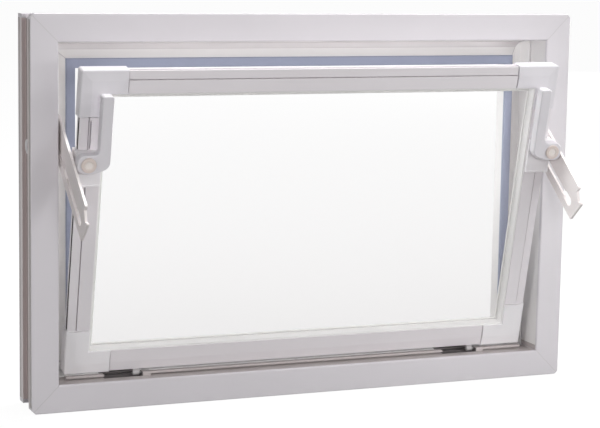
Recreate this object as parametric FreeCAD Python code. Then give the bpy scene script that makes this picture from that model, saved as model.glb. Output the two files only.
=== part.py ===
import FreeCAD, Part
import math
import os

# White plastic hopper window for a cellar, its sash tilted into the room on two slotted stays.
# X runs along the sill, Y goes from the room into the wall, Z is up. Sizes are in millimetres.
# The origin lies on the sill edge of the front flange, midway along it and midway through it.

V = FreeCAD.Vector

# Outer frame
FRAME_W = 600.0             # width over the front flange
FRAME_H = 400.0             # height over the front flange
FRAME_D = 60.0              # front face to rear face
FLANGE_T = 7.0              # thickness of the flange edge
FACE_W = 28.3               # width of the front face on every side
CORNER_CUT = 4.0            # trimmed weld corner of the frame
EDGE_R = 1.2                # rounding of the outer front edge
REVEAL_R = 2.0              # rounding where the front face turns into the reveal
SLIT_W = 3.0                # width of the narrow slit behind the flange
SLIT_DEEP = 9.0             # depth of that slit
RIB_W = 5.0                 # width of the rib behind the slit
RIB_IN = 0.4                # how far the rib stays inside the flange edge
CHANNEL_W = 29.0            # width of the wide channel in the outer side
CHANNEL_DEEP = 6.0          # depth of that channel
REAR_LIP_IN = 2.0           # how far the rear lip stays inside the flange edge
GROOVE_AT = 34.6            # front of the groove in the reveal
GROOVE_W = 2.8              # width of the groove in the reveal
GROOVE_DEEP = 2.2           # depth of the groove in the reveal
REVEAL_STEP = 0.6           # the reveal starts this far inward behind the groove
REVEAL_SLOPE = 3.0          # and leans inward by this much up to the rebate floor
FLOOR_BACK = 6.5            # wall behind the rebate floor
FLOOR_W = 9.7               # width of the rebate floor
STOP_AT = 18.2              # outer edge of the stop inside the reveal
STOP_W = 10.0               # width of the stop, up to the daylight edge
SEAL_FACE = 41.5            # depth of the seal's front face
SEAL_T = 2.2                # thickness of the seal
SEAL_R = 1.6                # rounding of the seal's front edges
PIN_PLAY = 0.05             # play of a turning part on its pin, on the radius

# Sash, in its own frame: depth s behind its front face, height h over its lower edge
SIDE_GAP = 10.2             # gap between sash and reveal on each side
HEIGHT_GAP = 20.9           # gaps over and under the sash together
SASH_T = 18.0               # thickness over the corner pieces
SASH_TILT = 12.56           # opening angle on the stays
SASH_FOOT_D = 21.6          # lower front edge behind the frame's front face
SASH_LIFT = 4.3             # lower front edge above the lower reveal
BAR_W = 24.5                # width of a bar's face
BAR_IN = 1.2                # bars stay this far inside the corner pieces' outline
BAR_BACK = 1.1              # bars stay this far behind the corner pieces' face
LINE_AT = 11.0              # the bar's inner band starts here, from the sash edge
BAND_DROP = 1.0             # outer band of a bar behind its inner band
LINE_W = 0.9                # width of the narrow groove between the two bands
LINE_DEEP = 3.0             # depth of that groove behind the outer band
SLIT_AT = 11.6              # short slit in a stile over its lever base, from the sash edge
SLIT_MOUTH = 1.5            # width of that slit
SLIT_FLOOR = 5.0            # depth of that slit
SLIT_GAP = 0.8              # the slit starts this far over the lever base
SLIT_TOP = 3.0              # and ends this far under the corner piece
SIDE_GROOVE_AT = 1.4        # side groove of a bar behind its outer band
SIDE_GROOVE_W = 4.4         # width of the side groove
SIDE_GROOVE_DEEP = 8.0      # depth of the side groove
STEP_AT = 11.5              # the sash's outer side steps in here
STEP_IN = 5.5               # depth of that step
PIECE_LEG = 48.0            # length of a corner piece along each side
JOINT_W = 0.4               # shadow gap between a bar and a corner piece
JOINT_DEEP = 1.0            # depth of that gap behind the bar's outer band
JOINT_SAG = 0.7             # hollow of a corner piece's end
PIECE_R = 3.0               # outer rounding of a corner piece
PIECE_STEP_AT = 15.0        # a corner piece's outer side steps in here
PIECE_SLOPE = 1.2           # fall of a corner piece's outer band
PIECE_EDGE_R = 2.0          # rounding of a corner piece's outer front edge
PANE_AT = 10.5              # depth of the pane's front face
PANE_T = 4.0                # thickness of the pane
PANE_HOLD = 3.5             # depth of the slot for the pane
PANE_PLAY = 0.5             # free edge of the pane in its slot
LIP_W = 2.0                 # lip behind the pane
BEAD_BACK = 1.2             # a glazing bead starts this far behind the bar's face
BEAD_TOP = 1.4              # width of a bead at its front
BEAD_FOOT = 3.6             # width of a bead at the pane
BEAD_HEEL = 1.8             # straight heel of a bead on the pane

# Bottom hinge: a hooked rib on the lower reveal, notched for two lugs that hang on pins
AXIS_S = 2.0                # hinge axis behind the sash face
AXIS_DROP = 3.0             # hinge axis under the sash edge
HINGE_PIN_R = 1.2           # hinge pin radius
LUG_W = 6.5                 # width of a hinge lug
LUG_R = 2.2                 # radius of a lug around its pin
LUG_WEB = 2.5               # thickness of a lug over its knuckle
LUG_SIDE = 2.0              # free space between a lug and the right end of its notch
NOTCH_LEFT_IN = 41.5        # left notch from the sash's left edge
NOTCH_RIGHT_IN = 56.0       # right notch from the sash's right edge
NOTCH_W = 41.0              # length of a notch
NOTCH_FLOOR = 7.0           # depth of a notch under the reveal
PIN_GRIP = 6.0              # length of a hinge pin inside its block
PIN_OVER = 1.0              # length of a hinge pin past its lug
BLOCK_L = 9.0               # length of the block that holds a hinge pin
BLOCK_T = 10.2              # thickness of that block
HINGE_RIB_H = 3.6           # height of the rib over the reveal
HINGE_RIB_D = 17.3          # front of the rib behind the frame's front face
HINGE_RIB_T = 7.5           # depth of the rib over its hook
HOOK_T = 2.0                # thickness of the hook
HOOK_IN = 5.0               # open depth under the hook
HINGE_RIB_SHORT = 11.7      # the rib ends this far from each side reveal

# Lever handles on the stiles, measured from the sash's upper and side edges
LEVER_DROP = 89.5           # lever pin under the sash's upper edge
LEVER_EDGE = 6.5            # lever pin inside the sash's side edge
LEVER_PIN_R = 4.0           # lever pin radius
LEVER_PIN_SEAT = 5.0        # length of the lever pin inside its base
LEVER_HEAD_R = 7.6          # head of the lever pin
LEVER_HEAD_T = 1.6          # thickness of that head
DISH_R = 4.6                # dished middle of the head
DISH_DEEP = 1.0             # depth of that dish
BASE_DOWN = 29.0            # lever base under the pin
BASE_UP = 8.5               # lever base over the pin
BASE_T = 10.2               # cup of the lever base in front of the corner pieces' face
BASE_PLATE = 1.4            # plate of the lever base in front of the corner pieces' face
BASE_SIDE = 2.4             # side plate of the lever base past the sash edge
BASE_SIDE_S = 11.0          # side plate behind the corner pieces' face
LEDGE_H = 1.6               # ledge along the lower edge of the base
LEDGE_T = 0.9               # that ledge in front of the plate
CUP_R = 12.5                # rim of the cup around the pin
CUP_FOOT_R = 15.5           # cup where it meets the plate
LEVER_GAP = 0.3             # play between lever and base, and lever and pin head
LEVER_T = 9.6               # thickness of the lever
GRIP_IN = 10.3              # grip starts this far inside the pin
GRIP_W = 11.6               # width of the grip
GRIP_UP = 69.0              # upper end of the grip over the pin
FOOT_R = 9.6                # half the height of the foot at the pin
FOOT_OUT = 11.0             # foot past the pin, towards the stay
NOSE_R = 7.5                # rounding of that end
ELBOW_UP = 5.5              # elbow over the lower side of the foot
ELBOW_R = 9.0               # outer rounding between foot and grip
CROOK_R = 5.0               # inner rounding between foot and grip
GRIP_END_R = 3.0            # rounding of the grip's end
LEVER_EDGE_R = 1.3          # rounding of the lever's front edges

# Slotted stays in the side gaps
STAY_OUT_GAP = 2.4          # gap between stay and reveal
STAY_T = 2.6                # thickness of a stay
STAY_PIVOT_D = 20.5         # stay pivot behind the frame's front face
STAY_DROP = 119.4           # stay pivot under the frame's upper edge
STAY_ANGLE = 37.5           # slope of the stay under level, towards the room
STAY_HALF = 19.0            # half the width of a stay
STAY_TOOTH = 120.5          # upper edge ends here, from the pivot
STAY_TIP = 136.5            # foremost point, from the pivot
STAY_TIP_UP = 8.5           # that point over the middle line
STAY_HEEL = 131.0           # lower edge ends here, from the pivot
NOTCH_LAND = 1.6            # tooth left on both sides of the end notch
NOTCH_IN = 5.0              # depth of the end notch
SLOT_DOWN = 6.5             # slot under the middle line
SLOT_W = 6.2                # width of the slot
SLOT_FROM = 24.0            # start of the slot from the pivot
SLOT_TO = 119.0             # end of the slot from the pivot
EYE_W = 9.6                 # width of the slot's wider end
EYE_LEN = 18.0              # length of the slot's wider end
STAY_PIN_R = 3.0            # stay pivot radius
STAY_HEAD_R = 5.5           # head of the stay pivot
STAY_HEAD_T = 1.2           # thickness of that head
STAY_BOSS_R = 8.0           # boss between frame and stay
STAY_PLAY = 0.25            # play on both sides of a stay at its pivot
STAY_PIN_GRIP = 8.0         # length of the pivot inside the frame
STUD_S = 4.0                # stay stud behind the sash face
STUD_DROP = 21.0            # stay stud under the lever pin
STUD_R = 2.5                # stay stud radius
STUD_SHORT = 0.8            # stud ends this far from the stay
STUD_FOOT = 12.0            # length of the stud inside the stile

# Sizes that follow from those above
SASH_W = FRAME_W - 2.0 * (FACE_W + SIDE_GAP)
SASH_H = FRAME_H - 2.0 * FACE_W - HEIGHT_GAP
SASH_FOOT_Z = FACE_W + SASH_LIFT
FLOOR_D = FRAME_D - FLOOR_BACK
STOP_OUT = FACE_W + STOP_AT
STOP_IN = STOP_OUT + STOP_W
SLIT_END = FLANGE_T + SLIT_W
RIB_END = SLIT_END + RIB_W
CHANNEL_END = RIB_END + CHANNEL_W
PANE_SLOT = BAR_W - PANE_HOLD
LIP_IN = BAR_W + LIP_W
LEVER_X = SASH_W / 2.0 - LEVER_EDGE
LEVER_H = SASH_H - LEVER_DROP
STAY_PIVOT_Z = FRAME_H - STAY_DROP
STAY_X = FRAME_W / 2.0 - FACE_W - STAY_OUT_GAP - STAY_T

FRONT_Y = -FLANGE_T / 2.0   # the front face in the shared frame


def rounded_wire(points, place):
    """Closed wire through points (u, v, radius), each corner rounded by its radius."""
    count = len(points)
    segments = []
    for k in range(count):
        u, v, r = points[k]
        pu, pv, pr = points[k - 1]
        nu, nv, nr = points[(k + 1) % count]
        if r <= 0.0:
            segments.append(((u, v), None, (u, v)))
            continue
        a = math.hypot(pu - u, pv - v)
        b = math.hypot(nu - u, nv - v)
        ax, ay = (pu - u) / a, (pv - v) / a
        bx, by = (nu - u) / b, (nv - v) / b
        half = math.acos(max(-1.0, min(1.0, ax * bx + ay * by))) / 2.0
        run = r / math.tan(half)
        mx, my = ax + bx, ay + by
        m = math.hypot(mx, my)
        reach = r / math.sin(half)
        cu, cv = u + mx / m * reach, v + my / m * reach
        mid = (cu - mx / m * r, cv - my / m * r)
        segments.append(((u + ax * run, v + ay * run), mid, (u + bx * run, v + by * run)))
    edges = []
    for k in range(count):
        start, mid, end = segments[k]
        if mid is not None:
            edges.append(Part.Arc(place(*start), place(*mid), place(*end)).toShape())
        follow = segments[(k + 1) % count][0]
        if math.hypot(follow[0] - end[0], follow[1] - end[1]) > 1e-6:
            edges.append(Part.LineSegment(place(*end), place(*follow)).toShape())
    return Part.Wire(Part.__sortEdges__(edges))


def plate(points, place, along):
    """Solid from a rounded outline, pushed along a vector."""
    return Part.Face(rounded_wire(points, place)).extrude(along)


def side_bar(points, side, width, height, start, end, y0):
    """Bar with the outline (inset, depth) on one side of a rectangle, from start to end along it."""
    if side == "bottom":
        return plate(points, lambda i, d: V(start, y0 + d, i), V(end - start, 0, 0))
    if side == "top":
        return plate(points, lambda i, d: V(start, y0 + d, height - i), V(end - start, 0, 0))
    if side == "left":
        return plate(points, lambda i, d: V(i - width / 2.0, y0 + d, start), V(0, 0, end - start))
    return plate(points, lambda i, d: V(width / 2.0 - i, y0 + d, start), V(0, 0, end - start))


def mitre_wedge(side, width, height, reach, y0, y1):
    """Block whose ends run at 45 degrees from the corners of a rectangle."""
    w = width / 2.0
    if side == "bottom":
        pts = [(-w, 0, 0), (w, 0, 0), (w - reach, reach, 0), (reach - w, reach, 0)]
    elif side == "top":
        low = height - reach
        pts = [(-w, height, 0), (w, height, 0), (w - reach, low, 0), (reach - w, low, 0)]
    elif side == "left":
        pts = [(-w, 0, 0), (-w, height, 0), (reach - w, height - reach, 0), (reach - w, reach, 0)]
    else:
        pts = [(w, 0, 0), (w, height, 0), (w - reach, height - reach, 0), (w - reach, reach, 0)]
    return plate(pts, lambda x, z: V(x, y0, z), V(0, y1 - y0, 0))


def mitred_bar(points, side, width, height, reach, y0, y1):
    """Bar over a whole side of a rectangle with mitred ends."""
    full = width if side in ("bottom", "top") else height
    start = -width / 2.0 if side in ("bottom", "top") else 0.0
    bar = side_bar(points, side, width, height, start, start + full, y0)
    return bar.common(mitre_wedge(side, width, height, reach, y0 - 40.0, y1 + 40.0))


def cylinder(radius, length, base, axis):
    return Part.makeCylinder(radius, length, base, axis)


SIDES = ("bottom", "top", "left", "right")
parts = {}

# Welded frame: one extruded section on four sides, with the stop for the seal at the back.
FRAME_SECTION = [
    (0.0, 0.0, EDGE_R), (0.0, FLANGE_T, 0.0),
    (SLIT_DEEP, FLANGE_T, 0.0), (SLIT_DEEP, SLIT_END, 0.0),
    (RIB_IN, SLIT_END, 0.5), (RIB_IN, RIB_END, 0.5),
    (CHANNEL_DEEP, RIB_END, 0.0), (CHANNEL_DEEP, CHANNEL_END, 0.0),
    (REAR_LIP_IN, CHANNEL_END, 0.5), (REAR_LIP_IN, FRAME_D, 1.5),
    (STOP_IN, FRAME_D, 1.5), (STOP_IN, SEAL_FACE + SEAL_T, 0.0),
    (STOP_OUT, SEAL_FACE + SEAL_T, 0.6), (FACE_W + FLOOR_W, FLOOR_D, 3.0),
    (FACE_W + REVEAL_STEP + REVEAL_SLOPE, FLOOR_D, 1.0), (FACE_W + REVEAL_STEP, GROOVE_AT + GROOVE_W, 0.0),
    (FACE_W - GROOVE_DEEP, GROOVE_AT + GROOVE_W, 0.0), (FACE_W - GROOVE_DEEP, GROOVE_AT, 0.0),
    (FACE_W, GROOVE_AT, 0.0), (FACE_W, 0.0, REVEAL_R),
]
half_w = FRAME_W / 2.0
cut = CORNER_CUT
outline = [
    (cut - half_w, 0, 0), (half_w - cut, 0, 0), (half_w, cut, 0), (half_w, FRAME_H - cut, 0),
    (half_w - cut, FRAME_H, 0), (cut - half_w, FRAME_H, 0), (-half_w, FRAME_H - cut, 0), (-half_w, cut, 0),
]
frame_block = plate(outline, lambda x, z: V(x, FRONT_Y - 1.0, z), V(0, FRAME_D + 2.0, 0))
for side in SIDES:
    bar = mitred_bar(FRAME_SECTION, side, FRAME_W, FRAME_H, STOP_IN + 1.0, FRONT_Y, FRAME_D)
    parts["frame_" + side] = bar.common(frame_block)

# Soft seal on the stop, one mitred strip on each side.
SEAL_SECTION = [
    (STOP_OUT, SEAL_FACE + SEAL_T, 0.0), (STOP_OUT, SEAL_FACE, SEAL_R),
    (STOP_IN, SEAL_FACE, SEAL_R), (STOP_IN, SEAL_FACE + SEAL_T, 0.0),
]
for side in SIDES:
    seal = mitred_bar(SEAL_SECTION, side, FRAME_W, FRAME_H, STOP_IN + 1.0, FRONT_Y, FRAME_D)
    parts["seal_" + side] = seal

# Hinge line in the shared frame
tilt = math.radians(SASH_TILT)
foot_y = FRONT_Y + SASH_FOOT_D
axis_y = foot_y + AXIS_S * math.cos(tilt) + AXIS_DROP * math.sin(tilt)
axis_z = SASH_FOOT_Z + AXIS_S * math.sin(tilt) - AXIS_DROP * math.cos(tilt)
half_sash = SASH_W / 2.0
notch_left = NOTCH_LEFT_IN - half_sash
notch_right = half_sash - NOTCH_RIGHT_IN - NOTCH_W
NOTCHES = (("left", notch_left), ("right", notch_right))
lug_in = NOTCH_W - LUG_SIDE - LUG_W

# Rib along the lower reveal with two milled notches; a block at each notch holds its hinge pin.
rib_y = FRONT_Y + HINGE_RIB_D
rib_half = half_w - FACE_W - HINGE_RIB_SHORT
rib_top = FACE_W + HINGE_RIB_H
rib = plate(
    [(rib_y + HOOK_IN, FACE_W - 1.0, 0), (rib_y + HOOK_IN, rib_top - HOOK_T, 0),
     (rib_y, rib_top - HOOK_T, 0.5), (rib_y, rib_top, 0.7),
     (rib_y + HINGE_RIB_T, rib_top, 0.7), (rib_y + HINGE_RIB_T, FACE_W - 1.0, 0)],
    lambda y, z: V(-rib_half, y, z), V(2.0 * rib_half, 0, 0))
sill = parts["frame_bottom"].fuse(rib)
for hand, start in NOTCHES:
    block = plate(
        [(rib_y, FACE_W - 1.0, 0), (rib_y, rib_top, 0.7),
         (rib_y + BLOCK_T, rib_top, 0.7), (rib_y + BLOCK_T, FACE_W - 1.0, 0)],
        lambda y, z: V(start + NOTCH_W, y, z), V(BLOCK_L, 0, 0))
    sill = sill.fuse(block)
sill = sill.removeSplitter()
for hand, start in NOTCHES:
    notch = Part.makeBox(NOTCH_W, BLOCK_T + 2.0, HINGE_RIB_H + NOTCH_FLOOR + 1.0)
    notch.translate(V(start, rib_y - 1.0, FACE_W - NOTCH_FLOOR))
    sill = sill.cut(notch)
    pin_from = start + lug_in - PIN_OVER
    pin_to = start + NOTCH_W + PIN_GRIP
    pin = cylinder(HINGE_PIN_R, pin_to - pin_from, V(pin_from, axis_y, axis_z), V(1, 0, 0))
    sill = sill.cut(pin)
    parts["hinge_pin_" + hand] = pin
parts["frame_bottom"] = sill

# Sash, built upright in its own frame and tilted afterwards. The lower bar's face is plain.
sash = {}
BAR_REAR = SASH_T - BAR_BACK
band = BAR_BACK + BAND_DROP
groove_front = band + SIDE_GROOVE_AT
GROOVED_FACE = [
    (BAR_IN, band, 0.6), (LINE_AT - LINE_W, band, 0.2),
    (LINE_AT - LINE_W, band + LINE_DEEP, 0.0), (LINE_AT, band + LINE_DEEP, 0.0),
    (LINE_AT, BAR_BACK, 0.3), (BAR_W, BAR_BACK, 0.5),
]
PLAIN_FACE = [(BAR_IN, band, 0.6), (LINE_AT, BAR_BACK, 0.0), (BAR_W, BAR_BACK, 0.5)]
BAR_BODY = [
    (BAR_W, PANE_AT, 0.0), (PANE_SLOT, PANE_AT, 0.0),
    (PANE_SLOT, PANE_AT + PANE_T, 0.0), (LIP_IN, PANE_AT + PANE_T, 0.0),
    (LIP_IN, BAR_REAR, 0.8), (BAR_IN + STEP_IN, BAR_REAR, 0.8),
    (BAR_IN + STEP_IN, STEP_AT, 0.0), (BAR_IN, STEP_AT, 0.5),
    (BAR_IN, groove_front + SIDE_GROOVE_W, 0.3),
    (BAR_IN + SIDE_GROOVE_DEEP, groove_front + SIDE_GROOVE_W, 0.0),
    (BAR_IN + SIDE_GROOVE_DEEP, groove_front, 0.0), (BAR_IN, groove_front, 0.3),
]
for side in SIDES:
    if side in ("bottom", "top"):
        ends = (PIECE_LEG - half_sash, half_sash - PIECE_LEG)
    else:
        ends = (PIECE_LEG, SASH_H - PIECE_LEG)
    face = PLAIN_FACE if side == "bottom" else GROOVED_FACE
    bar = side_bar(face + BAR_BODY, side, SASH_W, SASH_H, ends[0], ends[1], 0.0)
    for end in (ends[0], ends[1] - JOINT_W):
        if side in ("bottom", "top"):
            gap = Part.makeBox(JOINT_W, band + JOINT_DEEP, SASH_H, V(end, 0, 0))
        else:
            gap = Part.makeBox(SASH_W, band + JOINT_DEEP, JOINT_W, V(-half_sash, 0, end))
        bar = bar.cut(gap)
    sash["sash_" + side] = bar

# Moulded corner pieces that join the bars; their outer band falls a little to the edge.
PIECE_SECTION = [
    (0.0, PIECE_SLOPE, PIECE_EDGE_R), (LINE_AT, 0.0, 0.0), (BAR_W, 0.0, 0.6),
    (BAR_W, PANE_AT, 0.0), (PANE_SLOT, PANE_AT, 0.0),
    (PANE_SLOT, PANE_AT + PANE_T, 0.0), (LIP_IN, PANE_AT + PANE_T, 0.0),
    (LIP_IN, SASH_T, 0.8), (STEP_IN, SASH_T, 0.8),
    (STEP_IN, PIECE_STEP_AT, 0.0), (0.0, PIECE_STEP_AT, 0.8),
]
rounded = plate(
    [(-half_sash, 0, PIECE_R), (half_sash, 0, PIECE_R),
     (half_sash, SASH_H, PIECE_R), (-half_sash, SASH_H, PIECE_R)],
    lambda x, z: V(x, -1.0, z), V(0, SASH_T + 2.0, 0))
for across in ("bottom", "top"):
    for upright in ("left", "right"):
        if upright == "left":
            run_x = (-half_sash, PIECE_LEG - half_sash)
        else:
            run_x = (half_sash - PIECE_LEG, half_sash)
        run_z = (0.0, PIECE_LEG) if across == "bottom" else (SASH_H - PIECE_LEG, SASH_H)
        leg_x = side_bar(PIECE_SECTION, across, SASH_W, SASH_H, run_x[0], run_x[1], 0.0)
        leg_x = leg_x.common(mitre_wedge(across, SASH_W, SASH_H, LIP_IN + 1.0, 0.0, SASH_T))
        leg_z = side_bar(PIECE_SECTION, upright, SASH_W, SASH_H, run_z[0], run_z[1], 0.0)
        leg_z = leg_z.common(mitre_wedge(upright, SASH_W, SASH_H, LIP_IN + 1.0, 0.0, SASH_T))
        piece = leg_x.fuse(leg_z).removeSplitter().common(rounded)
        sag_r = (BAR_W * BAR_W / 4.0 + JOINT_SAG * JOINT_SAG) / (2.0 * JOINT_SAG)
        end_x = run_x[1] - JOINT_SAG + sag_r if upright == "left" else run_x[0] + JOINT_SAG - sag_r
        end_z = run_z[1] - JOINT_SAG + sag_r if across == "bottom" else run_z[0] + JOINT_SAG - sag_r
        mid_x = (BAR_W / 2.0 - half_sash) if upright == "left" else (half_sash - BAR_W / 2.0)
        mid_z = BAR_W / 2.0 if across == "bottom" else SASH_H - BAR_W / 2.0
        hollow_depth = BAR_BACK + BAND_DROP + JOINT_DEEP + 1.0
        hollow_x = cylinder(sag_r, hollow_depth, V(end_x, -1.0, mid_z), V(0, 1, 0))
        hollow_z = cylinder(sag_r, hollow_depth, V(mid_x, -1.0, end_z), V(0, 1, 0))
        piece = piece.cut([hollow_x, hollow_z])
        sash["corner_" + across + "_" + upright] = piece

# Glazing beads in front of the pane, mitred at the corners.
bead_front = BAR_BACK + BEAD_BACK
BEAD_SECTION = [
    (BAR_W, bead_front, 0.0), (BAR_W + BEAD_TOP, bead_front, 0.7),
    (BAR_W + BEAD_FOOT, PANE_AT - BEAD_HEEL, 0.5), (BAR_W + BEAD_FOOT, PANE_AT, 0.0),
    (BAR_W, PANE_AT, 0.0),
]
for side in SIDES:
    sash["bead_" + side] = mitred_bar(BEAD_SECTION, side, SASH_W, SASH_H, LIP_IN + 1.0, 0.0, SASH_T)

# Single pane.
edge = PANE_SLOT + PANE_PLAY
pane = Part.makeBox(SASH_W - 2.0 * edge, PANE_T, SASH_H - 2.0 * edge)
pane.translate(V(edge - half_sash, PANE_AT, edge))
sash["pane"] = pane

# Hinge lugs under the lower bar.
for hand, start in NOTCHES:
    lug_x = start + lug_in
    knuckle = cylinder(LUG_R, LUG_W, V(lug_x, AXIS_S, -AXIS_DROP), V(1, 0, 0))
    web = Part.makeBox(LUG_W, LUG_WEB, AXIS_DROP + BAR_IN, V(lug_x, AXIS_S + LUG_R - LUG_WEB, -AXIS_DROP))
    bore = cylinder(HINGE_PIN_R + PIN_PLAY, LUG_W + 2.0, V(lug_x - 1.0, AXIS_S, -AXIS_DROP), V(1, 0, 0))
    sash["hinge_lug_" + hand] = knuckle.fuse(web).removeSplitter().cut(bore)

# Lever bases on the stiles: a plate round the stile's outer edge with a cup for the lever's foot.
handles = {}
front = V(0, -1, 0)
for hand, sign in (("left", -1.0), ("right", 1.0)):
    base_low = LEVER_H - BASE_DOWN
    base_high = LEVER_H + BASE_UP
    inner = sign * (half_sash - BAR_W + 0.3)
    outer = sign * (half_sash + BASE_SIDE)
    stile_side = half_sash - BAR_IN
    plate_out = [(inner, base_low, 0.6), (outer, base_low, 2.5), (outer, base_high, 2.5), (inner, base_high, 0.6)]
    face = plate(plate_out, lambda x, h: V(x, BAR_BACK, h), V(0, -BASE_PLATE - BAR_BACK, 0))
    wrap = [(sign * stile_side, base_low, 0), (outer, base_low, 1.0), (outer, base_high, 1.0),
            (sign * stile_side, base_high, 0)]
    cheek = plate(wrap, lambda x, h: V(x, BAR_BACK, h), V(0, BASE_SIDE_S - BAR_BACK, 0))
    lever_at = V(sign * LEVER_X, 0, LEVER_H)
    cup = Part.makeCone(CUP_FOOT_R, CUP_R, BASE_T - BASE_PLATE + 0.2, lever_at + V(0, 0.2 - BASE_PLATE, 0), front)
    trim = plate([(sign * (half_sash - BAR_W + 1.5), base_low + 3.0, 0), (outer, base_low + 3.0, 0),
                  (outer, base_high, 0), (sign * (half_sash - BAR_W + 1.5), base_high, 0)],
                 lambda x, h: V(x, 2.0, h), V(0, -BASE_T - 4.0, 0))
    ledge_out = [(inner, base_low, 0.4), (outer, base_low, 1.0), (outer, base_low + LEDGE_H, 0.4),
                 (inner, base_low + LEDGE_H, 0.4)]
    ledge = plate(ledge_out, lambda x, h: V(x, 0.2 - BASE_PLATE, h), V(0, -LEDGE_T - 0.2, 0))
    base = face.fuse([cheek, cup.common(trim), ledge]).removeSplitter()
    seat = lever_at + V(0, LEVER_PIN_SEAT - BASE_T, 0)
    shank_len = LEVER_PIN_SEAT + LEVER_T + 2.0 * LEVER_GAP
    shank = cylinder(LEVER_PIN_R, shank_len, seat, front)
    base = base.cut(shank)
    head = cylinder(LEVER_HEAD_R, LEVER_HEAD_T, seat + V(0, -shank_len, 0), front)
    rim = [e for e in head.Edges if abs(e.BoundBox.YMin - head.BoundBox.YMin) < 1e-6 and e.BoundBox.YLength < 1e-6]
    head = head.makeFillet(LEVER_HEAD_T * 0.5, rim)
    dish_at = seat + V(0, -shank_len - LEVER_HEAD_T + DISH_DEEP, 0)
    dish = Part.makeCone(DISH_R - DISH_DEEP, DISH_R, DISH_DEEP, dish_at, front)
    sash["lever_pin_" + hand] = shank.fuse(head).removeSplitter().cut(dish)

    # Angled lever: a foot around the pin, an elbow and an upright grip.
    grip_out = LEVER_X - GRIP_IN
    grip_in = grip_out - GRIP_W
    foot_low = LEVER_H - FOOT_R
    foot_high = LEVER_H + FOOT_R
    lever_s = -BASE_T - LEVER_GAP
    shape = [
        (sign * (LEVER_X + FOOT_OUT), foot_low, NOSE_R),
        (sign * (LEVER_X - FOOT_R * 0.6), foot_low, 6.0),
        (sign * grip_in, foot_low + ELBOW_UP, ELBOW_R),
        (sign * grip_in, LEVER_H + GRIP_UP, GRIP_END_R), (sign * grip_out, LEVER_H + GRIP_UP, GRIP_END_R),
        (sign * grip_out, foot_high, CROOK_R),
        (sign * (LEVER_X + FOOT_OUT), foot_high, NOSE_R),
    ]
    lever = plate(shape, lambda x, h: V(x, lever_s, h), V(0, -LEVER_T, 0))
    lip = [e for e in lever.Edges if abs(e.BoundBox.YMin - lever.BoundBox.YMin) < 1e-6 and e.BoundBox.YLength < 1e-6]
    lever = lever.makeFillet(LEVER_EDGE_R, lip)
    hole = cylinder(LEVER_PIN_R + PIN_PLAY, BASE_T + LEVER_T + 10.0, lever_at, front)
    handles["handle_" + hand] = lever.cut(hole)

    # Stud of the stay, through the base's side plate into the stile.
    stud_h = LEVER_H - STUD_DROP
    stud_from = stile_side - STUD_FOOT
    stud = cylinder(STUD_R, STAY_X - STUD_SHORT - stud_from, V(sign * stud_from, STUD_S, stud_h), V(sign, 0, 0))
    sash["lever_base_" + hand] = base.cut(stud)
    slit_from = base_high + SLIT_GAP
    slit_len = SASH_H - PIECE_LEG - SLIT_TOP - slit_from
    slit_x = sign * (half_sash - SLIT_AT - SLIT_MOUTH / 2.0) - SLIT_MOUTH / 2.0
    slit = Part.makeBox(SLIT_MOUTH, SLIT_FLOOR, slit_len, V(slit_x, BAR_BACK - 1.0, slit_from))
    sash["sash_" + hand] = sash["sash_" + hand].cut(stud).cut(slit)
    sash["stay_stud_" + hand] = stud

tilted = FreeCAD.Placement(V(0, foot_y, SASH_FOOT_Z), FreeCAD.Rotation(V(1, 0, 0), SASH_TILT))
for group in (sash, handles):
    for name, shape in group.items():
        moved = shape.copy()
        moved.Placement = tilted.multiply(moved.Placement)
        parts[name] = moved

# Slotted stays in the side gaps, turning on pivots in the frame's reveals.
slope = math.radians(STAY_ANGLE)
pivot_y = FRONT_Y + STAY_PIVOT_D


def on_stay(x):
    """Place a point (along, down) of a stay, measured from its pivot, at the side x."""
    def place(a, b):
        y = pivot_y - math.cos(slope) * a + math.sin(slope) * b
        z = STAY_PIVOT_Z - math.sin(slope) * a - math.cos(slope) * b
        return V(x, y, z)
    return place


end_a = STAY_TIP - STAY_TOOTH
end_b = STAY_HALF - STAY_TIP_UP
end_l = math.hypot(end_a, end_b)
da, db = end_a / end_l, end_b / end_l
low_a, low_b = STAY_TOOTH + da * NOTCH_LAND, -STAY_HALF + db * NOTCH_LAND
far_a, far_b = STAY_TIP - da * NOTCH_LAND, -STAY_TIP_UP - db * NOTCH_LAND
in_a, in_b = -db * NOTCH_IN, da * NOTCH_IN
lean = NOTCH_IN * 0.45
STAY_OUTLINE = [
    (-STAY_HALF, -STAY_HALF, STAY_HALF - 0.05), (STAY_TOOTH, -STAY_HALF, 0.5),
    (low_a, low_b, 0.3), (low_a + in_a + da * lean, low_b + in_b + db * lean, 0.8),
    (far_a + in_a - da * lean, far_b + in_b - db * lean, 0.8), (far_a, far_b, 0.3),
    (STAY_TIP, -STAY_TIP_UP, 0.5), (STAY_HEEL, STAY_HALF, 1.5),
    (-STAY_HALF, STAY_HALF, STAY_HALF - 0.05),
]


def slot_outline(a0, a1, width):
    """Outline of a slot with round ends, on the stay's slot line."""
    half = width / 2.0
    r = half - 0.02
    low, high = SLOT_DOWN - half, SLOT_DOWN + half
    return [(a0, low, r), (a1, low, r), (a1, high, r), (a0, high, r)]


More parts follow.
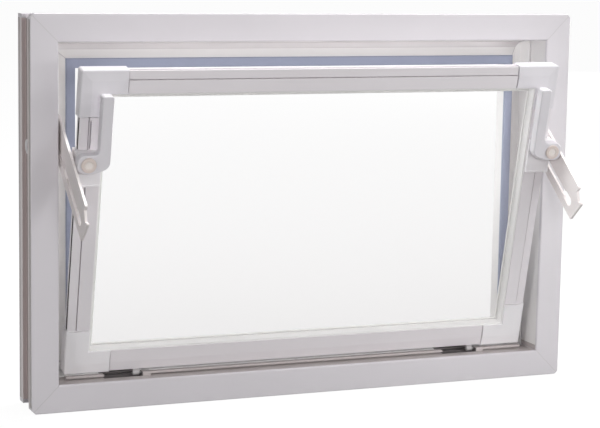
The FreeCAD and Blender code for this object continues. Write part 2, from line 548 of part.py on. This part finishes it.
for hand, sign in (("left", -1.0), ("right", 1.0)):
    inner = sign * STAY_X
    across = V(sign * STAY_T, 0, 0)
    stay = plate(STAY_OUTLINE, on_stay(inner), across)
    stay = stay.cut(plate(slot_outline(SLOT_FROM, SLOT_TO, SLOT_W), on_stay(inner), across))
    stay = stay.cut(plate(slot_outline(SLOT_TO + 2.0 - EYE_LEN, SLOT_TO + 2.0, EYE_W), on_stay(inner), across))
    centre = V(0, pivot_y, STAY_PIVOT_Z)
    out = V(sign, 0, 0)
    bore = cylinder(STAY_PIN_R + PIN_PLAY, STAY_T + 2.0, centre + V(sign * (STAY_X - 1.0), 0, 0), out)
    parts["stay_" + hand] = stay.cut(bore)
    reveal = half_w - FACE_W
    head_from = STAY_X - STAY_PLAY - STAY_HEAD_T
    head = cylinder(STAY_HEAD_R, STAY_HEAD_T, centre + V(sign * head_from, 0, 0), out)
    shank_from = STAY_X - STAY_PLAY
    shank = cylinder(STAY_PIN_R, reveal + STAY_PIN_GRIP - shank_from, centre + V(sign * shank_from, 0, 0), out)
    boss_from = STAY_X + STAY_T + STAY_PLAY
    boss = cylinder(STAY_BOSS_R, reveal - boss_from, centre + V(sign * boss_from, 0, 0), out)
    pivot = head.fuse([shank, boss]).removeSplitter()
    parts["stay_pivot_" + hand] = pivot
    parts["frame_" + hand] = parts["frame_" + hand].cut(pivot)

os.makedirs("parts", exist_ok=True)
for name, shape in sorted(parts.items()):
    solid = shape.Solids[0] if len(shape.Solids) == 1 else shape
    solid.exportStep("parts/" + name + ".step")
    print(name, shape.isValid(), len(shape.Solids), round(shape.Volume / 1000.0, 2))
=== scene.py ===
import math
import bmesh
import bpy
from mathutils import Matrix, Vector


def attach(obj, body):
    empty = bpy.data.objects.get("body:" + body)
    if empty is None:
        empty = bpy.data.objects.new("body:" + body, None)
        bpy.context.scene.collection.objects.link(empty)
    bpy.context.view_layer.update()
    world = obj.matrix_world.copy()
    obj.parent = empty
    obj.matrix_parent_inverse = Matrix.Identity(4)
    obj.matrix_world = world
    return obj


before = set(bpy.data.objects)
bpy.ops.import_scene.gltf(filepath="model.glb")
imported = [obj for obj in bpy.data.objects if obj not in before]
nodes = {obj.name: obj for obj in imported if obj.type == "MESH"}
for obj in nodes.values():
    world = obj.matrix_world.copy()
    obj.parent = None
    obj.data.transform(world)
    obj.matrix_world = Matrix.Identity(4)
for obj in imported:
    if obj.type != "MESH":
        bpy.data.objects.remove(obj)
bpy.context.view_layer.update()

# Welded outer frame: four bars of white extruded plastic, cut at 45 degrees and fused at the
# corners, where the trimmed weld leaves a thin uneven seam. Draw lines from the die run along
# the bars. The outer sides are raw and dusty, with painted shade in their slit and at their rear
# and painted highlights on the rib and the lip. Painted shade darkens the sill, its notches and
# the rear of the head's rebate, and painted light makes the jambs and the stop paler.
FRAME_W = 0.600
FRAME_H = 0.400
FRAME_FRONT = -0.0035
FRAME_BACK = 0.0565
FRAME_WHITE = (0.80, 0.765, 0.80, 1.0)
PLASTIC_IOR = 1.53
DRAW_LINES_ACROSS = 420.0
DRAW_LINES_ALONG = 6.0
# Places of the tints, as distances from the frame's edge, depths behind its origin and heights.
# The jambs and the stop are painted paler than the face as painted light, and the sill, the rear
# of the head's rebate and the notches are painted darker as painted shade. The bands of the outer
# sides start at shares of the frame's depth.
AHEAD_OF_BACK = 0.05646
REVEAL_IN = (0.0270, 0.0340)
REVEAL_DEPTH = (-0.0010, 0.0320)
# Painted light: the jambs are painted paler than the face to stand in for the light that falls on them.
JAMB_PAINTED_LIGHT = (0.95, 0.93, 0.92, 1.0)
# Painted shade: the sill is painted darker to stand in for the shade under the sash.
SILL_PAINTED_SHADE = (0.55, 0.50, 0.495, 1.0)
# Painted light: the stop and the rebate before it are painted paler to stand in for the light that falls
# into them.
STOP_PAINTED_LIGHT = (0.98, 0.965, 0.955, 1.0)
HEAD_REAR_FROM = 0.0495
HEAD_REAR_IN = (0.0240, 0.0440)
# Painted shade: the rear of the head's rebate is painted darker where the head shades it.
HEAD_REAR_PAINTED_SHADE = (0.74, 0.705, 0.71, 1.0)
NOTCH_MIDDLES = (-0.1995, 0.1850)
NOTCH_REACH = 0.0207
NOTCH_DEPTH = (0.0125, 0.0403)
NOTCH_HEIGHT = (0.0206, 0.0330)
# Painted shade: the sill's notches are painted dark to stand in for the shade inside them.
NOTCH_PAINTED_SHADE = (0.15, 0.135, 0.135, 1.0)
OUTER_IN = 0.0078
OUTER_FROM = -0.0021
OUTER_ENDS = 0.0060
# Raw plastic of the outer sides in bands, with painted shade in the slit and at the rear and painted
# highlights on the rib and the lip's front.
OUTER_RAW_AND_PAINTED_LIGHT_BANDS = [
    (0.0, (0.30, 0.25, 0.245, 1.0)), (0.118, (0.22, 0.18, 0.175, 1.0)),
    (0.165, (0.72, 0.645, 0.635, 1.0)), (0.254, (0.50, 0.43, 0.42, 1.0)),
    (0.72, (0.74, 0.64, 0.63, 1.0)), (0.745, (0.76, 0.69, 0.68, 1.0)),
    (0.86, (0.37, 0.31, 0.31, 1.0)),
]
WELD_GREY = (0.70, 0.67, 0.69, 1.0)
WELD_WANDER = 0.0012
WELD_CORE = 0.0003
WELD_EDGE = 0.0008


def feed(node, inputs):
    """Links each input of a node to an output of another, or sets it to a constant."""
    for socket, value in inputs.items():
        if isinstance(value, bpy.types.NodeSocket):
            node.id_data.links.new(value, node.inputs[socket])
        else:
            node.inputs[socket].default_value = value


def add(tree, kind, inputs=None, **settings):
    """Adds a shader node with its settings and feeds its inputs."""
    node = tree.nodes.new("ShaderNode" + kind)
    for name, value in settings.items():
        setattr(node, name, value)
    feed(node, inputs or {})
    return node


def calc(tree, operation, *values):
    """The result of one operation on numbers or node outputs."""
    return add(tree, "Math", dict(enumerate(values)), operation=operation).outputs["Value"]


def chain(tree, operation, *values):
    """The result of one operation carried through a row of values."""
    result = values[0]
    for value in values[1:]:
        result = calc(tree, operation, result, value)
    return result


def between(tree, value, limits):
    """One where a value lies between two limits, and zero elsewhere."""
    low, high = limits
    return calc(tree, "COMPARE", value, (low + high) / 2.0, (high - low) / 2.0)


def mix(tree, share, under, over):
    """One colour laid over another by a share."""
    return add(tree, "Mix", {0: share, 6: under, 7: over}, data_type="RGBA").outputs[2]


def ramp(tree, share, stops, interpolation="LINEAR"):
    """A colour picked by a share from a row of stops, each a place and a colour."""
    node = add(tree, "ValToRGB", {"Fac": share})
    row = node.color_ramp
    row.interpolation = interpolation
    for stop, (place, colour) in zip(row.elements, (stops[0], stops[-1])):
        stop.position = place
        stop.color = colour
    for place, colour in stops[1:-1]:
        row.elements.new(place).color = colour
    return node.outputs["Color"]


def shaded(colour, share):
    """A darker tone of a colour."""
    return tuple(share * part for part in colour[:3]) + (1.0,)


def new_material(name):
    """A material, with its node tree and its shader."""
    mat = bpy.data.materials.new(name)
    mat.use_nodes = True
    return mat, mat.node_tree, mat.node_tree.nodes["Principled BSDF"]


def extruded_plastic(name, colour, along, roughness, markings=None):
    """White extruded plastic with draw lines along one axis and, where asked, markings with painted light
    and shade.
    """
    mat, tree, shader = new_material(name)
    place = add(tree, "TexCoord").outputs["Object"]
    scale = [DRAW_LINES_ACROSS] * 3
    scale["xyz".index(along)] = DRAW_LINES_ALONG
    stretched = add(tree, "Mapping", {"Vector": place, "Scale": scale}).outputs["Vector"]
    lines = add(tree, "TexNoise", {"Vector": stretched, "Scale": 1.0, "Detail": 3.0}).outputs["Fac"]
    cloud = add(tree, "TexNoise", {"Vector": place, "Scale": 9.0, "Detail": 4.0}).outputs["Fac"]
    surface = ramp(tree, cloud, [(0.3, shaded(colour, 0.955)), (0.7, colour)])
    drawn = {"Strength": 0.05, "Distance": 0.0004, "Height": lines}
    normal = add(tree, "Bump", drawn).outputs["Normal"]
    if markings is not None:
        surface, normal = markings(tree, place, surface, normal)
    patchy = {"Value": cloud, "To Min": roughness - 0.06, "To Max": roughness + 0.08}
    gloss = add(tree, "MapRange", patchy).outputs["Result"]
    feed(shader, {"Base Color": surface, "Normal": normal, "Roughness": gloss, "IOR": PLASTIC_IOR})
    return mat


def frame_painted_light_and_welds(tree, place, surface, normal):
    """Paints light on the jambs and stop, paints shade on the sill, head rear and notches, bands the outer
    sides with raw tones, painted shade and highlights, and draws its weld seams.
    """
    axes = add(tree, "SeparateXYZ", {"Vector": place}).outputs
    depth = axes["Y"]
    from_side = calc(tree, "SUBTRACT", FRAME_W / 2.0, calc(tree, "ABSOLUTE", axes["X"]))
    off_middle = calc(tree, "ABSOLUTE", calc(tree, "SUBTRACT", axes["Z"], FRAME_H / 2.0))
    from_end = calc(tree, "SUBTRACT", FRAME_H / 2.0, off_middle)
    inward = calc(tree, "MINIMUM", from_side, from_end)
    ahead = calc(tree, "LESS_THAN", depth, AHEAD_OF_BACK)
    reveal = between(tree, depth, REVEAL_DEPTH)
    jamb = calc(tree, "MULTIPLY", between(tree, from_side, REVEAL_IN), reveal)
    sill = calc(tree, "MULTIPLY", between(tree, axes["Z"], REVEAL_IN), reveal)
    stop = chain(tree, "MULTIPLY", ahead,
                 calc(tree, "GREATER_THAN", inward, REVEAL_IN[0]),
                 calc(tree, "GREATER_THAN", depth, REVEAL_DEPTH[1]))
    head_rear = chain(tree, "MULTIPLY", ahead,
                      calc(tree, "GREATER_THAN", depth, HEAD_REAR_FROM),
                      between(tree, from_end, HEAD_REAR_IN),
                      calc(tree, "GREATER_THAN", axes["Z"], FRAME_H / 2.0),
                      calc(tree, "LESS_THAN", from_end, from_side))
    notch_spans = [calc(tree, "COMPARE", axes["X"], middle, NOTCH_REACH) for middle in NOTCH_MIDDLES]
    notch = chain(tree, "MULTIPLY", chain(tree, "MAXIMUM", *notch_spans),
                  between(tree, depth, NOTCH_DEPTH),
                  between(tree, axes["Z"], NOTCH_HEIGHT))
    outer = chain(tree, "MULTIPLY", ahead,
                  calc(tree, "LESS_THAN", from_side, OUTER_IN),
                  calc(tree, "GREATER_THAN", depth, OUTER_FROM),
                  calc(tree, "GREATER_THAN", from_end, OUTER_ENDS))
    whole_depth = {"Value": depth, "From Min": FRAME_FRONT, "From Max": FRAME_BACK}
    deep_share = add(tree, "MapRange", whole_depth).outputs["Result"]
    # Outer sides: raw tones with painted shade and painted highlights, band by band across the depth.
    outer_raw_and_painted_light = ramp(tree, deep_share, OUTER_RAW_AND_PAINTED_LIGHT_BANDS, "CONSTANT")
    # Lays the painted light, the painted shade and the outer bands over the plastic.
    for share, tint in ((jamb, JAMB_PAINTED_LIGHT), (sill, SILL_PAINTED_SHADE), (stop, STOP_PAINTED_LIGHT),
                        (head_rear, HEAD_REAR_PAINTED_SHADE), (notch, NOTCH_PAINTED_SHADE), (outer, outer_raw_and_painted_light)):
        surface = mix(tree, share, surface, tint)
    wander = add(tree, "TexNoise", {"Vector": place, "Scale": 160.0}).outputs["Fac"]
    drift = calc(tree, "MULTIPLY", calc(tree, "SUBTRACT", wander, 0.5), WELD_WANDER)
    off_mitre = calc(tree, "ADD", calc(tree, "SUBTRACT", from_side, from_end), drift)
    fading = {"Value": calc(tree, "ABSOLUTE", off_mitre), "From Min": WELD_CORE, "From Max": WELD_EDGE,
              "To Min": 1.0, "To Max": 0.0}
    weld = add(tree, "MapRange", fading, interpolation_type="SMOOTHSTEP").outputs["Result"]
    dent = {"Strength": 0.25, "Distance": 0.0006, "Height": weld, "Normal": normal}
    normal = add(tree, "Bump", dent, invert=True).outputs["Normal"]
    return mix(tree, weld, surface, WELD_GREY), normal


def dress(node_name, mat):
    """Gives a solid its finish."""
    piece = nodes[node_name]
    piece.data.materials.clear()
    piece.data.materials.append(mat)


BARS = {"top": "x", "bottom": "x", "left": "z", "right": "z"}
for side, along in BARS.items():
    frame_plastic = extruded_plastic("frame_plastic_" + side, FRAME_WHITE, along, 0.34, frame_painted_light_and_welds)
    dress("frame_" + side, frame_plastic)

# Soft seal on the stop: a grey-blue rubber strip on each side, with a dull, slightly dusty skin.
# The strips are seated on the stop and mitred at the corners.
SEAL_BLUE = (0.33, 0.36, 0.48, 1.0)
SEAL_DUSTY = (0.40, 0.43, 0.555, 1.0)
seal_rubber, tree, shader = new_material("seal_rubber")
dust = add(tree, "TexNoise", {"Scale": 60.0, "Detail": 6.0}).outputs["Fac"]
skin = ramp(tree, dust, [(0.0, SEAL_BLUE), (1.0, SEAL_DUSTY)])
pores = add(tree, "Bump", {"Strength": 0.15, "Distance": 0.0004, "Height": dust}).outputs["Normal"]
feed(shader, {"Base Color": skin, "Normal": pores, "Roughness": 0.62})
for side in BARS:
    dress("seal_" + side, seal_rubber)

# Steel pins: drawn and cut rods, two in the hinge notches and two in the reveals.
# They carry a thin dull zinc coat.
ZINC_DULL = (0.42, 0.42, 0.41, 1.0)
ZINC_BRIGHT = (0.62, 0.62, 0.60, 1.0)
HANDS = {"left": -1, "right": 1}
pin_zinc, tree, shader = new_material("pin_zinc")
coat = add(tree, "TexNoise", {"Scale": 900.0}).outputs["Fac"]
mottle = ramp(tree, coat, [(0.0, ZINC_DULL), (1.0, ZINC_BRIGHT)])
feed(shader, {"Base Color": mottle, "Metallic": 1.0, "Roughness": 0.42})
for hand in HANDS:
    dress("hinge_pin_" + hand, pin_zinc)
    dress("stay_pivot_" + hand, pin_zinc)

# Sash bars and glazing beads: white extruded plastic like the frame's. The bars plug into the
# corner pieces, and painted shade in the groove of each stile shows as a dark line down it. The
# beads snap in over the pane.
SASH_FOOT = Vector((0.0, 0.0181, 0.0326))
SASH_W = 0.5230
SASH_H = 0.3225
SASH_TILT = math.radians(12.56)
SASH_WHITE = (0.865, 0.825, 0.85, 1.0)
BEAD_WHITE = (0.97, 0.955, 0.945, 1.0)
LINE_IN = (0.0015, 0.0097)
LINE_DEPTH = (0.0032, 0.0082)
# Painted shade inside the groove of each stile, where it shows as a dark line.
LINE_PAINTED_SHADE = (0.06, 0.05, 0.055, 1.0)


def from_sash_point(tree, place, point):
    """Places measured from a point of the sash along its own leaning axes."""
    lean = {"Vector": place, "Location": point, "Rotation": (SASH_TILT, 0.0, 0.0)}
    return add(tree, "Mapping", lean, vector_type="TEXTURE").outputs["Vector"]


def stile_groove_shade(tree, place, surface, normal):
    """Paints shade into the groove down a stile, where it shows as a dark line."""
    axes = add(tree, "SeparateXYZ", {"Vector": from_sash_point(tree, place, SASH_FOOT)}).outputs
    from_side = calc(tree, "SUBTRACT", SASH_W / 2.0, calc(tree, "ABSOLUTE", axes["X"]))
    inside = calc(tree, "MULTIPLY", between(tree, from_side, LINE_IN), between(tree, axes["Y"], LINE_DEPTH))
    return mix(tree, inside, surface, LINE_PAINTED_SHADE), normal


for side, along in BARS.items():
    line = stile_groove_shade if along == "z" else None
    dress("sash_" + side, extruded_plastic("sash_plastic_" + side, SASH_WHITE, along, 0.36, line))
    dress("bead_" + side, extruded_plastic("bead_plastic_" + side, BEAD_WHITE, along, 0.30))

# Corner pieces of the sash: injection-moulded plastic, with a fine spark-eroded grain from the
# mould in place of draw lines. The bars' ends are pushed into them. The lower pair is painted a
# paler white than the upper pair, as painted light that makes up for the shade they sit in.
CORNER_TOP_WHITE = (0.83, 0.805, 0.84, 1.0)
# Painted light: the lower corners are painted paler to make up for the shade they sit in.
CORNER_BOTTOM_PAINTED_LIGHT = (0.97, 0.945, 0.965, 1.0)


def moulded_plastic(name, colour, roughness, grain, markings=None):
    """Injection-moulded plastic with a fine grain and, where asked, markings."""
    mat, tree, shader = new_material(name)
    place = add(tree, "TexCoord").outputs["Object"]
    fine = add(tree, "TexNoise", {"Vector": place, "Scale": grain, "Detail": 2.0}).outputs["Fac"]
    slow = add(tree, "TexNoise", {"Vector": place, "Scale": 22.0}).outputs["Fac"]
    surface = ramp(tree, slow, [(0.3, shaded(colour, 0.95)), (0.7, colour)])
    normal = add(tree, "Bump", {"Strength": 0.06, "Distance": 0.0003, "Height": fine}).outputs["Normal"]
    if markings is not None:
        surface, normal = markings(tree, place, surface, normal)
    feed(shader, {"Base Color": surface, "Normal": normal, "Roughness": roughness, "IOR": PLASTIC_IOR})
    return mat


for level, corner_white in (("top", CORNER_TOP_WHITE), ("bottom", CORNER_BOTTOM_PAINTED_LIGHT)):
    corner_plastic = moulded_plastic("corner_plastic_" + level, corner_white, 0.38, 1400.0)
    for hand in HANDS:
        dress("corner_" + level + "_" + hand, corner_plastic)

# Hinge lugs: two moulded plastic knuckles under the lower bar of the sash, painted greyer than the rest as
# painted shade.
# They hang on the steel pins in the notches of the sill.
# Painted shade: the lugs are painted grey to stand in for the shade of the notches they hang in.
LUG_PAINTED_SHADE = (0.58, 0.555, 0.56, 1.0)
lug_plastic = moulded_plastic("lug_plastic", LUG_PAINTED_SHADE, 0.42, 1200.0)
for hand in HANDS:
    dress("hinge_lug_" + hand, lug_plastic)

# Lever bases and levers: moulded plastic in two whites. A base is a plate with a cup, fixed to
# the stile, and the angled lever turns on the pin in that cup.
BASE_WHITE = (0.95, 0.925, 0.945, 1.0)
LEVER_WHITE = (0.79, 0.765, 0.80, 1.0)
base_plastic = moulded_plastic("base_plastic", BASE_WHITE, 0.38, 1400.0)
lever_plastic = moulded_plastic("lever_plastic", LEVER_WHITE, 0.33, 1600.0)
for hand in HANDS:
    dress("lever_base_" + hand, base_plastic)
    dress("handle_" + hand, lever_plastic)

# Lever pins and stay studs: moulded cream plastic. A lever pin has a round dished head, paler
# round its middle, and is pressed through the lever into the base. A stud stands out of the
# stile's side, towards the stay.
PIN_CREAM = (0.76, 0.66, 0.615, 1.0)
PIN_PALE = (0.86, 0.80, 0.765, 1.0)
PIN_PALE_R = 0.0028
PIN_CREAM_R = 0.0054
LEVER_PIN_IN = 0.0065
LEVER_PIN_DROP = 0.0895
ACROSS_SASH = (1.0, 0.0, 1.0)
SASH_LEAN = Matrix.Rotation(SASH_TILT, 4, "X")


def on_sash(x, s, h):
    """A point of the sash, s behind its front face and h over its lower edge, in the shared frame."""
    return SASH_FOOT + (SASH_LEAN @ Vector((x, s, h)))


def pale_round(middle):
    """Markings that are paler round one point of the sash."""
    def markings(tree, place, surface, normal):
        level = from_sash_point(tree, place, middle)
        flat = add(tree, "VectorMath", {0: level, 1: ACROSS_SASH}, operation="MULTIPLY").outputs["Vector"]
        away = add(tree, "VectorMath", {0: flat}, operation="LENGTH").outputs["Value"]
        fading = {"Value": away, "From Min": PIN_PALE_R, "From Max": PIN_CREAM_R}
        fade = add(tree, "MapRange", fading).outputs["Result"]
        return mix(tree, fade, PIN_PALE, surface), normal
    return markings


pin_plastic = moulded_plastic("pin_plastic", PIN_CREAM, 0.40, 1200.0)
for hand, sign in HANDS.items():
    pin_at = on_sash(sign * (SASH_W / 2.0 - LEVER_PIN_IN), 0.0, SASH_H - LEVER_PIN_DROP)
    head_plastic = moulded_plastic("pin_plastic_" + hand, PIN_CREAM, 0.40, 1200.0, pale_round(pin_at))
    dress("lever_pin_" + hand, head_plastic)
    dress("stay_stud_" + hand, pin_plastic)

# Stays: two flat slotted bars of moulded plastic in the side gaps,
# each hung on its pivot in the reveal and led by the stud in its slot.
STAY_WHITE = (0.95, 0.885, 0.875, 1.0)
stay_plastic = moulded_plastic("stay_plastic", STAY_WHITE, 0.40, 1100.0)
for hand in HANDS:
    dress("stay_" + hand, stay_plastic)

# Pane: a single sheet of clear float glass, held in the sash by the beads,
# with a grey tint that deepens towards the lower bead.
PANE_GREY_BOTTOM = (0.79, 0.78, 0.78, 1.0)
PANE_CLEAR_TOP = (1.0, 1.0, 1.0, 1.0)
LIGHT_THROUGH = (0.90, 0.91, 0.91, 1.0)
pane_glass, tree, shader = new_material("pane_glass")
spread_out = add(tree, "TexCoord").outputs["Generated"]
height = add(tree, "SeparateXYZ", {"Vector": spread_out}).outputs["Z"]
# Grey tint that deepens towards the lower bead and clears towards the top.
pane_grey = ramp(tree, height, [(0.0, PANE_GREY_BOTTOM), (1.0, PANE_CLEAR_TOP)])
feed(shader, {"Base Color": pane_grey, "Roughness": 0.0, "IOR": 1.30, "Transmission Weight": 1.0})
shadow_ray = add(tree, "LightPath").outputs["Is Shadow Ray"]
through = add(tree, "BsdfTransparent", {"Color": LIGHT_THROUGH}).outputs["BSDF"]
lit = add(tree, "MixShader", {"Fac": shadow_ray, 1: shader.outputs["BSDF"], 2: through}).outputs["Shader"]
feed(tree.nodes["Material Output"], {"Surface": lit})
dress("pane", pane_glass)

# Glazing gasket: a soft white lip between the beads and the pane, extruded as a cord,
# cut to length and mitred at the four corners. It shows as a bright line round the glass.
LIP_PROFILE = [(0.02830, 0.01050), (0.02830, 0.00960), (0.02860, 0.00915), (0.02910, 0.00900),
               (0.02965, 0.00912), (0.03000, 0.00965), (0.03005, 0.01050)]
GASKET_WHITE = (0.95, 0.94, 0.92, 1.0)


def closed_ring(name, outlines, mat):
    """A piece whose outlines are joined one to the next, and the last to the first."""
    shell = bmesh.new()
    rings = [[shell.verts.new(point) for point in outline] for outline in outlines]
    for k, here in enumerate(rings):
        there = rings[(k + 1) % len(rings)]
        for j in range(len(here)):
            i = (j + 1) % len(here)
            shell.faces.new((here[j], here[i], there[i], there[j]))
    bmesh.ops.recalc_face_normals(shell, faces=shell.faces)
    mesh = bpy.data.meshes.new(name)
    shell.to_mesh(mesh)
    shell.free()
    mesh.materials.append(mat)
    piece = bpy.data.objects.new(name, mesh)
    bpy.context.scene.collection.objects.link(piece)
    return piece


lip_corners = []
for right, up in ((-1, 0), (1, 0), (1, 1), (-1, 1)):
    lip_corners.append([on_sash(right * (SASH_W / 2.0 - inset), depth, SASH_H - inset if up else inset)
                        for inset, depth in LIP_PROFILE])
gasket_plastic = moulded_plastic("gasket_white", GASKET_WHITE, 0.5, 700.0)
gasket = closed_ring("glazing_gasket", lip_corners, gasket_plastic)
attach(gasket, "sash")

# Plugs in the outer channels: a small flared tube of pale plastic pressed through each upright
# of the frame, its open end just inside the flange edge. Its rim is a little ragged.
PLUG_PROFILE = [(0.2925, 0.0066), (0.2952, 0.0063), (0.2968, 0.0066), (0.2979, 0.0073), (0.2984, 0.0071),
                (0.2983, 0.0058), (0.2972, 0.0046), (0.2950, 0.0042), (0.2925, 0.0042)]
PLUG_Y = 0.0195
PLUG_Z = 0.2680
PLUG_SIDES = 28
RIM_WAVE = 0.05
RIM_WAVES = 3.0
RIM_WAVE_START = 0.7
RIM_RIPPLE = 0.03
RIM_RIPPLES = 7.0
for hand, sign in HANDS.items():
    plug_outlines = []
    for k in range(PLUG_SIDES):
        angle = 2.0 * math.pi * k / PLUG_SIDES
        wave = RIM_WAVE * math.sin(RIM_WAVES * angle + RIM_WAVE_START)
        ragged = 1.0 + wave + RIM_RIPPLE * math.sin(RIM_RIPPLES * angle)
        back = ragged * math.cos(angle)
        rise = ragged * math.sin(angle)
        plug_outlines.append([(sign * out, PLUG_Y + radius * back, PLUG_Z + radius * rise)
                              for out, radius in PLUG_PROFILE])
    plug = closed_ring("frame_plug_" + hand, plug_outlines, base_plastic)
    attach(plug, "frame")

# Camera at the photograph's place: in front of the window and to its left,
# a little above its upper edge, with a long lens.
eye = bpy.data.cameras.new("camera")
eye.sensor_fit = "HORIZONTAL"
eye.sensor_width = 36.0
eye.lens = 112.757
camera = bpy.data.objects.new("camera", eye)
camera.location = (-0.74375, -1.80002, 0.46912)
camera.rotation_euler = tuple(math.radians(a) for a in (81.8757, -0.9375, -21.9696))
bpy.context.scene.collection.objects.link(camera)
bpy.context.scene.camera = camera

# Pale floor: a broad flat sheet just under the window. It looks white to the camera, through
# the pane and in reflections, and its matt grey share takes light and shadow.
FLOOR_REACH = 30.0
FLOOR_DROP = 0.0005
FLOOR_GREY = (0.09, 0.09, 0.09, 1.0)
FLOOR_GLOW = 0.96
PURE_WHITE = (1.0, 1.0, 1.0, 1.0)
floor_corners = [(right * FLOOR_REACH, back * FLOOR_REACH, 0.0)
                 for right, back in ((-1, -1), (1, -1), (1, 1), (-1, 1))]
floor_mesh = bpy.data.meshes.new("floor")
floor_mesh.from_pydata(floor_corners, [], [(0, 1, 2, 3)])
floor = bpy.data.objects.new("floor", floor_mesh)
floor.location = (0, 0, -FLOOR_DROP)
bpy.context.scene.collection.objects.link(floor)
floor_paint = bpy.data.materials.new("floor_paint")
floor_paint.use_nodes = True
tree = floor_paint.node_tree
tree.nodes.clear()
rays = add(tree, "LightPath").outputs
seen = chain(tree, "MAXIMUM", rays["Is Camera Ray"], rays["Is Transmission Ray"], rays["Is Glossy Ray"])
strength = calc(tree, "MULTIPLY", seen, FLOOR_GLOW)
glow = add(tree, "Emission", {"Color": PURE_WHITE, "Strength": strength}).outputs["Emission"]
matt = add(tree, "BsdfDiffuse", {"Color": FLOOR_GREY}).outputs["BSDF"]
both = add(tree, "AddShader", {0: matt, 1: glow}).outputs["Shader"]
add(tree, "OutputMaterial", {"Surface": both})
floor_mesh.materials.append(floor_paint)

# Studio light: a room that looks white and lights weakly, and ten soft area lamps that don't show
# to the camera or through the pane. Most of the light comes from overhead, the left and the
# front, and the rest fills in from the right, from low down and from behind.
ROOM_LIGHT = 0.14
ROOM_SEEN = 1.0
world = bpy.data.worlds.new("studio")
bpy.context.scene.world = world
world.use_nodes = True
tree = world.node_tree
tree.nodes.clear()
rays = add(tree, "LightPath").outputs
seen = calc(tree, "MAXIMUM", rays["Is Camera Ray"], rays["Is Transmission Ray"])
levels = {"Value": seen, "To Min": ROOM_LIGHT, "To Max": ROOM_SEEN}
power = add(tree, "MapRange", levels).outputs["Result"]
room = add(tree, "Background", {"Color": PURE_WHITE, "Strength": power}).outputs["Background"]
add(tree, "OutputWorld", {"Surface": room})
for name, place, aim, size, spread, watts in (
        ("overhead", (0.45, 0.20, 2.2), (0.45, 0.20, 0.0), (1.3, 0.25), 180.0, 48.0),
        ("above", (0.75, -0.95, 1.05), (0.2, 0.0, 0.3), (0.5, 0.5), 180.0, 3.8),
        ("left", (-2.2, -1.1, 0.50), (0.0, 0.0, 0.25), (0.9, 0.8), 180.0, 13.4),
        ("right", (2.2, -1.0, 0.60), (0.0, 0.0, 0.20), (0.8, 0.8), 180.0, 4.0),
        ("key", (-0.30, -2.0, 0.58), (0.1, 0.0, 0.25), (0.3, 0.3), 180.0, 7.4),
        ("front", (1.05, -1.7, 0.25), (0.25, 0.0, 0.12), (0.9, 0.6), 180.0, 6.0),
        ("near right", (0.85, -0.90, 0.12), (0.26, 0.0, 0.07), (0.3, 0.2), 40.0, 0.065),
        ("low", (0.2, -2.0, 0.14), (0.1, 0.0, 0.15), (1.2, 0.2), 180.0, 1.0),
        ("behind", (-0.12, 0.42, 0.25), (0.27, 0.0, 0.25), (0.24, 0.30), 60.0, 0.15),
        ("rear", (3.8, 3.9, 0.30), (0.0, 0.0, 0.20), (1.2, 0.4), 180.0, 86.0)):
    lamp = bpy.data.lights.new(name, "AREA")
    lamp.shape = "RECTANGLE"
    lamp.size, lamp.size_y = size
    lamp.spread = math.radians(spread)
    lamp.energy = watts
    stand = bpy.data.objects.new(name, lamp)
    stand.location = place
    stand.rotation_euler = (Vector(aim) - Vector(place)).to_track_quat("-Z", "Y").to_euler()
    stand.visible_camera = False
    stand.visible_transmission = False
    bpy.context.scene.collection.objects.link(stand)
bpy.context.scene.view_settings.view_transform = "Standard"
